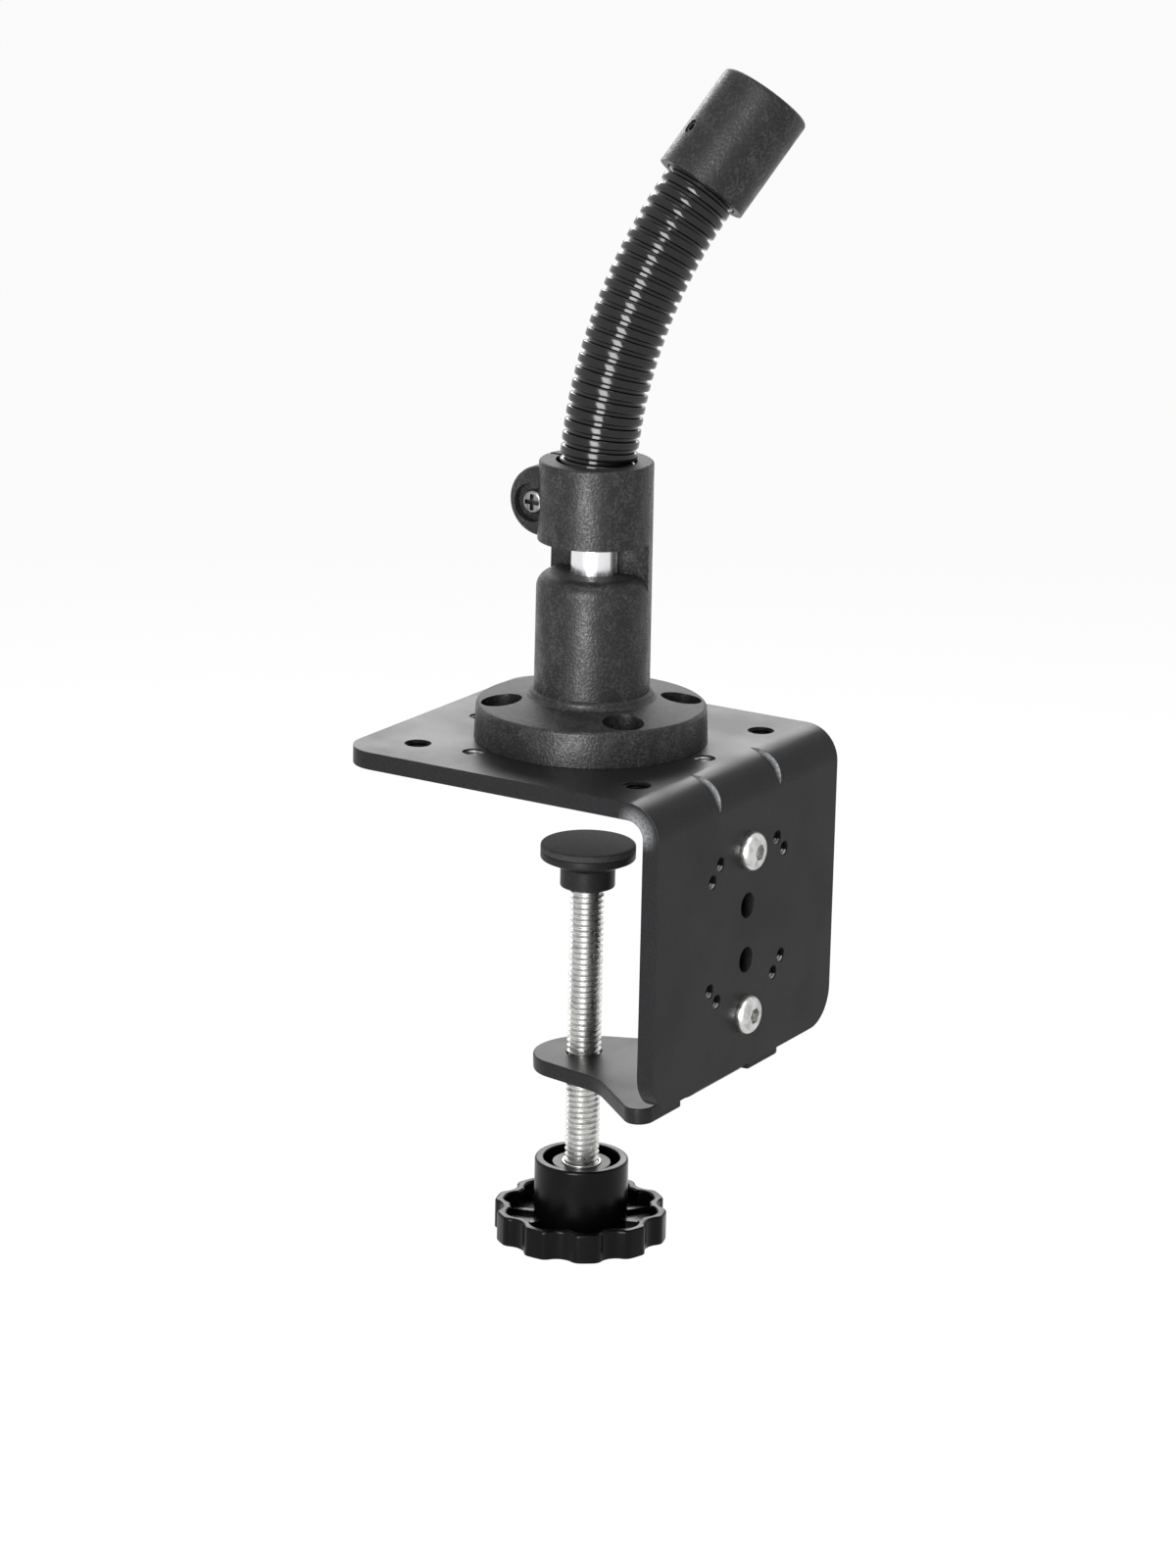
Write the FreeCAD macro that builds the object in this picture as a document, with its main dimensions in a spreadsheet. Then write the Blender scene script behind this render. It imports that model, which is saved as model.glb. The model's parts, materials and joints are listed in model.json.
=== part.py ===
import FreeCAD, Part
import math
import os
import re
import Sketcher

# Gooseneck clamp mount for a desk edge. All sizes in millimetres, angles in degrees.
# Z is up, the folded plate rests on the desk at z = 0 and hangs over the edge towards -Y.
os.makedirs("parts", exist_ok=True)
doc = FreeCAD.newDocument("gooseneck_clamp_mount")
sheet = doc.addObject("Spreadsheet::Sheet", "Sizes")

sizes = {
    # how far a cut starts outside the solid, and a joining outline reaches into it
    "overrun": 1.0,
    # folded plate
    "plate_width": 95.25,
    "plate_gauge": 4.8,
    "plate_back": 49.6,
    "plate_face": 50.0,
    "plate_drop": 79.0,
    "plate_bend": 4.8,
    "plate_corner": 10.0,
    "corner_hole": 3.6,
    "corner_across": 32.5,
    "corner_along": 34.2,
    "pilot_hole": 2.9,
    "pilot_ring": 35.5,
    "row_long": 38.1,
    "row_short": 30.17,
    "face_level": 37.45,
    "face_hole": 2.0,
    "column_hole": 3.5,
    "column_pitch": 15.25,
    "column_top": 18.3,
    "column_count": 4,
    "gusset_offset": 16.0,
    "gusset_back": 40.2,
    "gusset_low": 4.2,
    "gusset_flank": 35.0,
    "gusset_root": 1.0,
    # lower jaw
    "jaw_gauge": 4.5,
    "jaw_droop": 3.0,
    "jaw_level": 84.6,
    "jaw_tip": 14.0,
    "jaw_bore": 4.85,
    "waist_across": 19.0,
    "waist_along": 16.0,
    "waist_blend": 18.0,
    "wing_across": 37.0,
    "wing_along": 36.0,
    "wing_front": 41.5,
    "wing_round": 6.0,
    "wing_nose": 4.0,
    "leg_width": 26.0,
    "leg_top": 12.0,
    "leg_bend": 4.5,
    "leg_round": 4.0,
    "leg_notch": 5.0,
    "leg_root": 30.0,
    # jaw screws and nuts
    "bolt_shank": 3.0,
    "bolt_play": 0.3,
    "bolt_length": 14.8,
    "bolt_head": 5.35,
    "bolt_head_height": 3.3,
    "bolt_head_round": 2.3,
    "bolt_socket": 4.0,
    "bolt_socket_depth": 1.9,
    "nut_across": 10.0,
    "nut_height": 5.0,
    "thread_play": 0.05,
    # clamp screw, pad and knob
    "screw_radius": 4.7625,
    "screw_shoulder": 32.0,
    "screw_end": 127.0,
    "screw_chamfer": 0.6,
    "tip_radius": 3.2,
    "tip_top": 28.3,
    "cushion_top": 25.0,
    "cushion_gauge": 2.0,
    "cushion_round": 0.8,
    "pad_radius": 13.0,
    "pad_rim": 2.0,
    "pad_hub": 7.5,
    "pad_hub_top": 31.5,
    "pad_bottom": 37.0,
    "pad_recess": 6.2,
    "pad_floor": 29.5,
    "turn_fit": 0.06,
    "retainer_radius": 5.5,
    "retainer_gauge": 0.8,
    "knob_top": 115.6,
    "knob_hub": 12.95,
    "knob_cup": 10.55,
    "knob_boss": 8.0,
    "knob_boss_drop": 1.4,
    "knob_cup_floor": 126.0,
    "knob_radius": 24.0,
    "knob_rim_top": 129.6,
    "knob_rim_height": 8.2,
    "knob_wall": 2.4,
    "knob_web_drop": 4.6,
    "knob_web_gauge": 2.4,
    "valley_depth": 2.3,
    "valley_radius": 5.0,
    "lobe_radius": 4.6,
    "lobe_count": 10,
    "lobe_shoulder": 2.8,
    "lobe_inside": 1.4,
    "knob_edge": 0.8,
    "knob_rib": 1.6,
    "knob_rib_rise": 1.3,
    "insert_radius": 5.5,
    "insert_proud": 0.4,
    "insert_end": 128.0,
    # round base
    "base_radius": 31.5,
    "base_draft": 0.4,
    "base_rim": 9.7,
    "base_round": 1.2,
    "cone_rise": 2.0,
    "collar_radius": 16.5,
    "collar_level": 18.6,
    "collar_blend": 1.6,
    "base_seat": 8.8,
    "base_bore": 5.5,
    "base_hole": 2.7,
    "fix_shank": 2.4,
    "fix_head": 4.3,
    "fix_head_height": 3.0,
    "fix_socket": 4.0,
    "fix_end": 0.3,
    # post
    "post_foot": 15.6,
    "post_head": 15.3,
    "post_top": 81.0,
    "post_edge": 0.8,
    "rod_bore": 6.45,
    "rod_floor": 25.5,
    "sleeve_bore": 10.9,
    "sleeve_floor": 61.6,
    "slot_low": 50.6,
    "slot_high": 59.5,
    "slot_wall": 2.5,
    "slot_round": 4.2,
    "split_width": 1.6,
    "ear_along": 13.7,
    "ear_level": 69.0,
    "ear_radius": 9.5,
    "ear_width": 14.0,
    "ear_hole_along": 15.9,
    "ear_hole_level": 68.5,
    "ear_hole": 2.05,
    "ear_bore": 5.3,
    "ear_seat": 4.5,
    "ear_round": 1.8,
    "ear_shank": 1.8,
    "ear_shank_end": 6.6,
    "ear_head": 3.3,
    "ear_head_height": 2.2,
    "ear_cross": 4.4,
    "ear_cross_width": 1.2,
    "ear_cross_depth": 1.5,
    "ear_nut_across": 6.0,
    "ear_nut_height": 2.4,
    "ear_nut_play": 0.3,
    "centre_shank": 2.5,
    "centre_tip": 24.6,
    "centre_head": 4.25,
    "centre_head_height": 4.0,
    "centre_socket": 4.0,
    "centre_seat": 11.0,
    "centre_recess": 7.5,
    "washer_radius": 6.5,
    "washer_gauge": 1.2,
    # gooseneck
    "rod_radius": 6.35,
    "rod_bottom": 26.0,
    "rod_end": 14.0,
    "lean_azimuth": 35.0,
    "bend_start": 70.0,
    "bend_radius": 133.0,
    "bend_angle": 38.0,
    "sleeve_start": 61.9,
    "sleeve_inner": 6.65,
    "sleeve_root": 9.35,
    "sleeve_outer": 10.3,
    "sleeve_tail": 4.0,
    "rib_pitch": 3.3,
    "rib_low": 2,
    "rib_foot": 2.9,
    "rib_crest": 1.8,
    # end fitting
    "socket_radius": 13.0,
    "socket_length": 30.0,
    "socket_round": 1.5,
    "mouth_bore": 10.7,
    "mouth_depth": 4.5,
    "socket_depth": 17.0,
    "set_screw_radius": 2.0,
    "set_screw_level": 11.0,
    "set_screw_key": 2.0,
    "set_screw_key_depth": 1.8,
    "set_screw_sunk": 0.5,
    "end_insert_radius": 4.2,
    "end_insert_length": 11.5,
    "end_thread": 2.6,
}

row = 1
for label, amount in sizes.items():
    sheet.set("A%d" % row, label)
    sheet.set("B%d" % row, str(amount))
    sheet.setAlias("B%d" % row, label)
    row += 1
doc.recompute()


def size(label):
    return float(sheet.get(label))


def linked(text):
    def named(hit):
        word = hit.group(0)
        return "Sizes." + word if word in sizes else word
    return re.sub(r"[a-z][a-z_]*", named, str(text))


def bind(item, path, text):
    item.setExpression(path, linked(text))


# Turns a sketch or a body about an axis through its own origin by an angle of the sheet.
def turnBy(item, path, axis, angle):
    first = FreeCAD.Rotation(FreeCAD.Vector(*axis), 1)
    setattr(item, path, FreeCAD.Placement(FreeCAD.Vector(0, 0, 0), first))
    bind(item, path + ".Rotation.Angle", angle)


def makeBody(label):
    body = doc.addObject("PartDesign::Body", label)
    body.Label = label
    return body


def originPart(body, role):
    return [item for item in body.Origin.OriginFeatures if item.Role == role][0]


# An outline is a list of corners, a ring is a centre and a radius, all written with the named sizes.
def addSketch(body, plane, outlines=(), rings=(), lift="0", axis=None):
    sketch = body.newObject("Sketcher::SketchObject", body.Label + "_sketch")
    sketch.AttachmentSupport = [(originPart(body, plane), "")]
    sketch.MapMode = "FlatFace"
    bind(sketch, "AttachmentOffset.Base.z", lift)
    index = 0
    for corners in outlines:
        count = len(corners)
        steps = [turn * 2 * math.pi / count for turn in range(count)]
        places = [FreeCAD.Vector(math.cos(step), math.sin(step), 0) for step in steps]
        for turn in range(count):
            sketch.addGeometry(Part.LineSegment(places[turn], places[(turn + 1) % count]), False)
        for turn in range(count):
            after = index + (turn + 1) % count
            sketch.addConstraint(Sketcher.Constraint("Coincident", index + turn, 2, after, 1))
        for turn in range(count):
            for kind, text in zip(("DistanceX", "DistanceY"), corners[turn]):
                spot = sketch.addConstraint(Sketcher.Constraint(kind, -1, 1, index + turn, 1, 1.0))
                bind(sketch, "Constraints[%d]" % spot, text)
        index += count
    for across, along, radius in rings:
        sketch.addGeometry(Part.Circle(FreeCAD.Vector(0, 0, 0), FreeCAD.Vector(0, 0, 1), 1.0), False)
        for kind, text in (("DistanceX", across), ("DistanceY", along)):
            spot = sketch.addConstraint(Sketcher.Constraint(kind, -1, 1, index, 3, 1.0))
            bind(sketch, "Constraints[%d]" % spot, text)
        spot = sketch.addConstraint(Sketcher.Constraint("Radius", index, 1.0))
        bind(sketch, "Constraints[%d]" % spot, radius)
        index += 1
    if axis is not None:
        sketch.addGeometry(Part.LineSegment(FreeCAD.Vector(1, 0, 0), FreeCAD.Vector(1, 1, 0)), True)
        for point, kind, text in ((1, "DistanceX", axis), (2, "DistanceX", axis), (1, "DistanceY", "0"),
                                  (2, "DistanceY", "1")):
            spot = sketch.addConstraint(Sketcher.Constraint(kind, -1, 1, index, point, 1.0))
            bind(sketch, "Constraints[%d]" % spot, text)
    return sketch


def settle(body, feature, before, grows):
    body.Tip = feature
    doc.recompute()
    if not feature.Shape.isValid():
        raise ValueError(feature.Name + " is not valid")
    change = feature.Shape.Volume - before
    if grows is not None and (change > 0) != grows:
        raise ValueError("%s changes the volume by %.3f" % (feature.Name, change))
    return feature


def volumeOf(body):
    return body.Tip.Shape.Volume if body.Tip else 0.0


def pad(body, sketch, length, middle=False, back=False):
    before = volumeOf(body)
    feature = body.newObject("PartDesign::Pad", body.Label + "_pad")
    feature.Profile = sketch
    feature.Midplane = middle
    feature.Reversed = back
    bind(feature, "Length", length)
    return settle(body, feature, before, True)


def pocket(body, sketch, length, middle=False, back=False):
    before = volumeOf(body)
    feature = body.newObject("PartDesign::Pocket", body.Label + "_pocket")
    feature.Profile = sketch
    feature.Midplane = middle
    feature.Reversed = back
    bind(feature, "Length", length)
    return settle(body, feature, before, False)


def turned(body, sketch, axis="V_Axis", angle="360"):
    before = volumeOf(body)
    feature = body.newObject("PartDesign::Revolution", body.Label + "_turned")
    feature.Profile = sketch
    feature.ReferenceAxis = (sketch, [axis])
    bind(feature, "Angle", angle)
    return settle(body, feature, before, True)


def grooved(body, sketch, axis="V_Axis"):
    before = volumeOf(body)
    feature = body.newObject("PartDesign::Groove", body.Label + "_groove")
    feature.Profile = sketch
    feature.ReferenceAxis = (sketch, [axis])
    bind(feature, "Angle", "360")
    return settle(body, feature, before, False)


def around(body, originals, axis, count, angle, grows, back=False):
    before = volumeOf(body)
    feature = body.newObject("PartDesign::PolarPattern", body.Label + "_around")
    feature.Originals = originals
    feature.Axis = axis
    feature.Reversed = back
    feature.Occurrences = count
    bind(feature, "Angle", angle)
    return settle(body, feature, before, grows)


def rounded(body, test, radius, kind="Fillet"):
    base = body.Tip
    names = ["Edge%d" % (spot + 1) for spot, edge in enumerate(base.Shape.Edges) if test(edge)]
    if not names:
        raise ValueError("no edge to round on " + body.Label)
    feature = body.newObject("PartDesign::" + kind, body.Label + "_" + kind.lower())
    feature.Base = (base, names)
    bind(feature, "Radius" if kind == "Fillet" else "Size", radius)
    return settle(body, feature, 0.0, None)


def near(value, goal, margin=0.05):
    return abs(value - goal) < margin


def lineAt(edge, direction, across=None, over=None, up=None):
    if edge.Curve.TypeId != "Part::GeomLine":
        return False
    if abs(abs(edge.Curve.Direction.dot(FreeCAD.Vector(*direction))) - 1) > 0.01:
        return False
    middle = edge.CenterOfMass
    spots = ((middle.x, across), (middle.y, over), (middle.z, up))
    return all(goal is None or near(abs(value), abs(goal)) for value, goal in spots)


def ringAt(edge, radius, up):
    if edge.Curve.TypeId != "Part::GeomCircle" or not near(edge.Curve.Radius, radius):
        return False
    return near(edge.Curve.Center.z, up)


def hexagon(across, x="0", y="0", first=0):
    return [("(%s) + (%s) / sqrt(3) * cos(%d)" % (x, across, turn),
             "(%s) + (%s) / sqrt(3) * sin(%d)" % (y, across, turn)) for turn in range(first, first + 360, 60)]


def block(low, high, left, right):
    return [(left, low), (right, low), (right, high), (left, high)]


def fourCorners(half, other, radius):
    return [("%s(%s)" % (one, half), "%s(%s)" % (two, other), radius)
            for one in ("", "-") for two in ("", "-")]


# Folded plate: a flat top with a square bend down over the desk edge.
plate = makeBody("clamp_bracket")
profile = [("plate_back", "0"), ("plate_back", "plate_gauge"), ("-plate_face", "plate_gauge"),
           ("-plate_face", "-plate_drop"), ("-plate_face + plate_gauge", "-plate_drop"),
           ("-plate_face + plate_gauge", "0")]
pad(plate, addSketch(plate, "YZ_Plane", [profile]), "plate_width", middle=True)
inner = -size("plate_face") + size("plate_gauge")
rounded(plate, lambda edge: lineAt(edge, (1, 0, 0), over=inner, up=0), "plate_bend")
rounded(plate, lambda edge: lineAt(edge, (1, 0, 0), over=-size("plate_face"), up=size("plate_gauge")),
        "plate_bend + plate_gauge")
side = size("plate_width") / 2
middle = size("plate_gauge") / 2
rounded(plate, lambda edge: lineAt(edge, (0, 0, 1), across=side, over=size("plate_back"), up=middle)
        or lineAt(edge, (0, 1, 0), across=side, up=-size("plate_drop")), "plate_corner")

# Two pressed gussets stiffen the bend: a rib under the plate and a V groove in its outer face.
gussetRise = "(plate_gauge + gusset_low)"
gussetRun = "(plate_face - gusset_back)"
gussetAngle = "atan2(%s; %s)" % (gussetRise, gussetRun)
flank = "tan(gusset_flank)"


def gussetSketch(low, high):
    outlines = []
    for sign in ("", "-"):
        outlines.append([("%sgusset_offset" % sign, low),
                         ("%sgusset_offset + (%s - (%s)) * %s" % (sign, high, low, flank), high),
                         ("%sgusset_offset - (%s - (%s)) * %s" % (sign, high, low, flank), high)])
    sketch = addSketch(plate, "XZ_Plane", outlines, lift="gusset_back")
    turnBy(sketch, "AttachmentOffset", (1, 0, 0), gussetAngle)
    bind(sketch, "AttachmentOffset.Base.y", "plate_gauge")
    bind(sketch, "AttachmentOffset.Base.z", "gusset_back")
    return sketch


gussetLength = "sqrt(%s ^ 2 + %s ^ 2)" % (gussetRise, gussetRun)
pad(plate, gussetSketch("-plate_gauge", "-gusset_root"), gussetLength)
pocket(plate, gussetSketch("0", "2 * plate_gauge"), gussetLength, back=True)

holes = fourCorners("corner_across", "corner_along", "corner_hole")
holes += fourCorners("row_short / 2", "row_long / 2", "fix_shank + thread_play")
pilotTurns = (30, 90, 150, 270)
holes += [("pilot_ring * cos(%d)" % turn, "pilot_ring * sin(%d)" % turn, "pilot_hole") for turn in pilotTurns]
pocket(plate, addSketch(plate, "XY_Plane", rings=holes), "3 * plate_gauge", middle=True)
faceHoles = [("%s row_%s / 2" % (one, first), "-face_level %s row_%s / 2" % (two, second), "face_hole")
             for first, second in (("short", "long"), ("long", "short"))
             for one in ("", "-") for two in ("+", "-")]
faceHoles += [("0", "-column_top - %d * column_pitch" % turn, "column_hole")
              for turn in range(int(size("column_count")))]
pocket(plate, addSketch(plate, "XZ_Plane", rings=faceHoles, lift="plate_face"), "2 * plate_gauge",
       middle=True)

# Lower jaw: an upright leg behind the plate and a drooping tongue with the tapped bore.
jaw = makeBody("lower_jaw")
legFace = "(-plate_face + plate_gauge)"
legBack = "(-plate_face + plate_gauge + jaw_gauge)"


def tongueTop(place):
    return "(-jaw_level - (%s) * tan(jaw_droop))" % place


def tongueLow(place):
    return "(-jaw_level - jaw_gauge / cos(jaw_droop) - (%s) * tan(jaw_droop))" % place


leg = [(legFace, "-leg_top"), (legBack, "-leg_top"), (legBack, tongueTop(legBack)),
       ("-leg_root", tongueTop("-leg_root")), ("-leg_root", tongueLow("-leg_root")),
       (legFace, tongueLow(legFace))]
pad(jaw, addSketch(jaw, "YZ_Plane", [leg]), "leg_width", middle=True)
jawBack = inner + size("jaw_gauge")
droop = math.tan(math.radians(size("jaw_droop")))
cornerTop = -size("jaw_level") - jawBack * droop
cornerLow = -size("jaw_level") - size("jaw_gauge") / math.cos(math.atan(droop)) - inner * droop
rounded(jaw, lambda edge: lineAt(edge, (1, 0, 0), over=jawBack, up=cornerTop), "leg_bend")
rounded(jaw, lambda edge: lineAt(edge, (1, 0, 0), over=inner, up=cornerLow), "leg_bend + jaw_gauge")
rounded(jaw, lambda edge: lineAt(edge, (0, 1, 0), across=size("leg_width") / 2, up=-size("leg_top")),
        "leg_round")
tipTurn = "(acos(jaw_tip / hypot(waist_across; waist_along)) - atan(waist_along / waist_across))"
half = [("jaw_tip * cos(%s)" % tipTurn, "jaw_tip * sin(%s)" % tipTurn), ("waist_across", "-waist_along"),
        ("wing_across", "-wing_along"), ("wing_across", "-wing_front"),
        ("leg_width / 2 + leg_notch", "-wing_front"), ("leg_width / 2 + leg_notch", "-wing_along"),
        ("leg_width / 2 - overrun", "-wing_along")]
tongue = half + [("-(%s)" % across, over) for across, over in reversed(half)]


def tilted(sketch):
    turnBy(sketch, "AttachmentOffset", (-1, 0, 0), "jaw_droop")
    bind(sketch, "AttachmentOffset.Base.z", "-jaw_level")
    return sketch


pad(jaw, tilted(addSketch(jaw, "XY_Plane", [tongue])), "jaw_gauge", back=True)
pad(jaw, tilted(addSketch(jaw, "XY_Plane", rings=[("0", "0", "jaw_tip")])), "jaw_gauge", back=True)


def uprightAt(edge, across, over):
    if edge.Curve.TypeId != "Part::GeomLine" or abs(edge.Curve.Direction.z) < 0.9:
        return False
    middle = edge.CenterOfMass
    return near(abs(middle.x), across) and near(middle.y, over, 0.4)


sink = -size("jaw_gauge") / 2 * math.sin(math.atan(droop))
rounded(jaw, lambda edge: uprightAt(edge, size("waist_across"), -size("waist_along") + sink), "waist_blend")
rounded(jaw, lambda edge: uprightAt(edge, size("wing_across"), -size("wing_along") + sink), "wing_round")
rounded(jaw, lambda edge: uprightAt(edge, size("wing_across"), -size("wing_front") + sink), "wing_nose")
jawBore = addSketch(jaw, "XY_Plane", rings=[("0", "0", "jaw_bore")], lift="-jaw_level")
pocket(jaw, jawBore, "4 * jaw_gauge", middle=True)
columnLow = "(-column_top - (column_count - 1) * column_pitch)"
legHoles = [("0", level, "bolt_shank + bolt_play") for level in ("-column_top", columnLow)]
pocket(jaw, addSketch(jaw, "XZ_Plane", rings=legHoles, lift="plate_face - plate_gauge"), "3 * jaw_gauge",
       middle=True)


# Button-headed screws and nuts stand on the plate's outer face with their local Z pointing at -Y.
def standOut(body, depth):
    turn = FreeCAD.Rotation(FreeCAD.Vector(1, 0, 0), 90)
    body.Placement = FreeCAD.Placement(FreeCAD.Vector(0, 0, 0), turn)
    bind(body, "Placement.Base.y", depth)
    bind(body, "Placement.Base.z", columnLow)


jawScrews = makeBody("jaw_screws")
standOut(jawScrews, "-plate_face")
bolt = [("0", "-bolt_length"), ("bolt_shank - screw_chamfer", "-bolt_length"),
        ("bolt_shank", "-bolt_length + screw_chamfer"), ("bolt_shank", "0"), ("bolt_head", "0"),
        ("bolt_head", "bolt_head_height"), ("0", "bolt_head_height")]
turned(jawScrews, addSketch(jawScrews, "XZ_Plane", [bolt]))
rounded(jawScrews, lambda edge: ringAt(edge, size("bolt_head"), size("bolt_head_height")), "bolt_head_round")
pocket(jawScrews, addSketch(jawScrews, "XY_Plane", [hexagon("bolt_socket")], lift="bolt_head_height"),
       "bolt_socket_depth")


# The same fastener again in the top hole of the column.
def repeatUp(body):
    before = volumeOf(body)
    feature = body.newObject("PartDesign::LinearPattern", body.Label + "_pair")
    feature.TransformMode = "Whole shape"
    feature.Direction = (originPart(body, "Y_Axis"), [""])
    feature.Occurrences = 2
    bind(feature, "Length", "(column_count - 1) * column_pitch")
    return settle(body, feature, before, True)


repeatUp(jawScrews)
jawNuts = makeBody("jaw_nuts")
standOut(jawNuts, "-plate_face + plate_gauge + jaw_gauge")
jawNut = addSketch(jawNuts, "XY_Plane", [hexagon("nut_across")], [("0", "0", "bolt_shank + thread_play")])
pad(jawNuts, jawNut, "nut_height", back=True)
repeatUp(jawNuts)

# Clamp screw with a turned-down tip that carries the pad.
screw = makeBody("clamp_screw")
turned(screw, addSketch(screw, "XZ_Plane", [[
    ("0", "-screw_end"), ("screw_radius - screw_chamfer", "-screw_end"),
    ("screw_radius", "-screw_end + screw_chamfer"), ("screw_radius", "-screw_shoulder - screw_chamfer"),
    ("screw_radius - screw_chamfer", "-screw_shoulder"), ("tip_radius", "-screw_shoulder"),
    ("tip_radius", "-tip_top"), ("0", "-tip_top")]]))
pressurePad = makeBody("pressure_pad")
turned(pressurePad, addSketch(pressurePad, "XZ_Plane", [[
    ("screw_radius + turn_fit", "-pad_bottom"), ("pad_hub", "-pad_bottom"), ("pad_hub", "-pad_hub_top"),
    ("pad_radius", "-cushion_top - cushion_gauge - pad_rim"), ("pad_radius", "-cushion_top - cushion_gauge"),
    ("pad_recess", "-cushion_top - cushion_gauge"), ("pad_recess", "-pad_floor"),
    ("tip_radius + turn_fit", "-pad_floor"), ("tip_radius + turn_fit", "-screw_shoulder + turn_fit"),
    ("screw_radius + turn_fit", "-screw_shoulder + turn_fit")]]))
cushion = makeBody("pad_cushion")
cushionDisc = addSketch(cushion, "XY_Plane", rings=[("0", "0", "pad_radius")], lift="-cushion_top")
pad(cushion, cushionDisc, "cushion_gauge", back=True)
rounded(cushion, lambda edge: ringAt(edge, size("pad_radius"), -size("cushion_top")), "cushion_round")
retainer = makeBody("pad_retainer")
pad(retainer, addSketch(retainer, "XY_Plane", rings=[("0", "0", "retainer_radius"), ("0", "0", "tip_radius")],
                        lift="-pad_floor + turn_fit"), "retainer_gauge")

# Hand knob: a lobed rim on a low ribbed web around a cupped hub.
knob = makeBody("knob")
knobDisc = addSketch(knob, "XY_Plane", rings=[("0", "0", "knob_radius")], lift="-knob_rim_top")
pad(knob, knobDisc, "knob_rim_height", back=True)
valleyPlace = "(knob_radius - valley_depth + valley_radius)"
valley = pocket(knob, addSketch(knob, "XY_Plane", rings=[(
    valleyPlace + " * cos(180 / lobe_count)", valleyPlace + " * sin(180 / lobe_count)", "valley_radius")],
    lift="-knob_rim_top"), "knob_rim_height")
knobAxis = (originPart(knob, "Z_Axis"), [""])
lobeCount = int(size("lobe_count"))
around(knob, [valley], knobAxis, lobeCount, "360", False)


def cornerAt(edge, radius):
    if edge.Curve.TypeId != "Part::GeomLine" or abs(edge.Curve.Direction.z) < 0.99:
        return False
    return near(math.hypot(edge.CenterOfMass.x, edge.CenterOfMass.y), radius)


rounded(knob, lambda edge: cornerAt(edge, size("knob_radius")), "lobe_shoulder")
valleyWall = "(knob_radius - valley_depth - knob_wall)"
pocket(knob, addSketch(knob, "XY_Plane", rings=[("0", "0", valleyWall)], lift="-knob_rim_top"),
       "knob_web_drop")
lobe = pocket(knob, addSketch(knob, "XY_Plane", rings=[(
    "knob_radius - knob_wall - lobe_radius", "0", "lobe_radius")], lift="-knob_rim_top"), "knob_web_drop")
around(knob, [lobe], knobAxis, lobeCount, "360", False)
rounded(knob, lambda edge: cornerAt(edge, size("knob_radius") - size("valley_depth") - size("knob_wall")),
        "lobe_inside")
rounded(knob, lambda edge: near(edge.BoundBox.ZMin, -size("knob_rim_top")) and near(edge.BoundBox.ZLength, 0),
        "knob_edge")
pocket(knob, addSketch(knob, "XY_Plane", rings=[("0", "0", valleyWall), ("0", "0", "knob_hub")],
                       lift="-knob_rim_top - knob_rim_height"),
       "knob_rim_height - knob_web_drop - knob_web_gauge", back=True)
webTop = "(-knob_rim_top - knob_web_drop)"
rib = pad(knob, addSketch(knob, "XY_Plane", [[
    ("knob_boss", "-knob_rib / 2"), ("knob_radius - knob_wall / 2", "-knob_rib / 2"),
    ("knob_radius - knob_wall / 2", "knob_rib / 2"), ("knob_boss", "knob_rib / 2")]], lift=webTop),
          "knob_rib_rise")
around(knob, [rib], knobAxis, lobeCount, "360", True)
turned(knob, addSketch(knob, "XZ_Plane", [[
    ("0", "-knob_rim_top - knob_web_drop - knob_web_gauge"),
    ("knob_hub", "-knob_rim_top - knob_web_drop - knob_web_gauge"), ("knob_hub", "-knob_top"),
    ("knob_cup", "-knob_top"), ("knob_cup", "-knob_cup_floor"), ("0", "-knob_cup_floor")]]))
turned(knob, addSketch(knob, "XZ_Plane", [[
    ("0", webTop), ("knob_boss", webTop), ("knob_boss", "-knob_top - knob_boss_drop"),
    ("0", "-knob_top - knob_boss_drop")]]))
pocket(knob, addSketch(knob, "XY_Plane", rings=[("0", "0", "insert_radius + thread_play")], lift="-knob_top"),
       "insert_end - knob_top")
rounded(knob, lambda edge: ringAt(edge, size("knob_hub"), -size("knob_top")), "knob_edge")
rounded(knob, lambda edge: ringAt(edge, size("knob_cup"), -size("knob_top")), "knob_edge / 2")
knobInsert = makeBody("knob_insert")
insertTop = "(-knob_top - knob_boss_drop + insert_proud)"
pad(knobInsert, addSketch(knobInsert, "XY_Plane", rings=[
    ("0", "0", "insert_radius"), ("0", "0", "screw_radius + thread_play")], lift=insertTop),
    insertTop + " + insert_end", back=True)

# Round base with four countersunk fixings in a 30.17 by 38.1 rectangle.
base = makeBody("flange_base")
rimTop = "(plate_gauge + base_rim)"
turned(base, addSketch(base, "XZ_Plane", [[
    ("centre_shank + bolt_play", "centre_seat"), ("centre_recess", "centre_seat"),
    ("centre_recess", "plate_gauge"), ("base_radius", "plate_gauge"), ("base_radius - base_draft", rimTop),
    ("collar_radius", "%s + cone_rise" % rimTop), ("collar_radius", "collar_level"),
    ("centre_shank + bolt_play", "collar_level")]]))
rimLevel = size("plate_gauge") + size("base_rim")
rounded(base, lambda edge: ringAt(edge, size("base_radius") - size("base_draft"), rimLevel), "base_round")
rounded(base, lambda edge: ringAt(edge, size("collar_radius"), rimLevel + size("cone_rise")), "collar_blend")
pocket(base, addSketch(base, "XY_Plane", rings=fourCorners("row_short / 2", "row_long / 2", "base_bore"),
                       lift="collar_level"), "collar_level - base_seat")
pocket(base, addSketch(base, "XY_Plane", rings=fourCorners("row_short / 2", "row_long / 2", "base_hole"),
                       lift="collar_level"), "collar_level")
fixings = makeBody("flange_screws")
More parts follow.
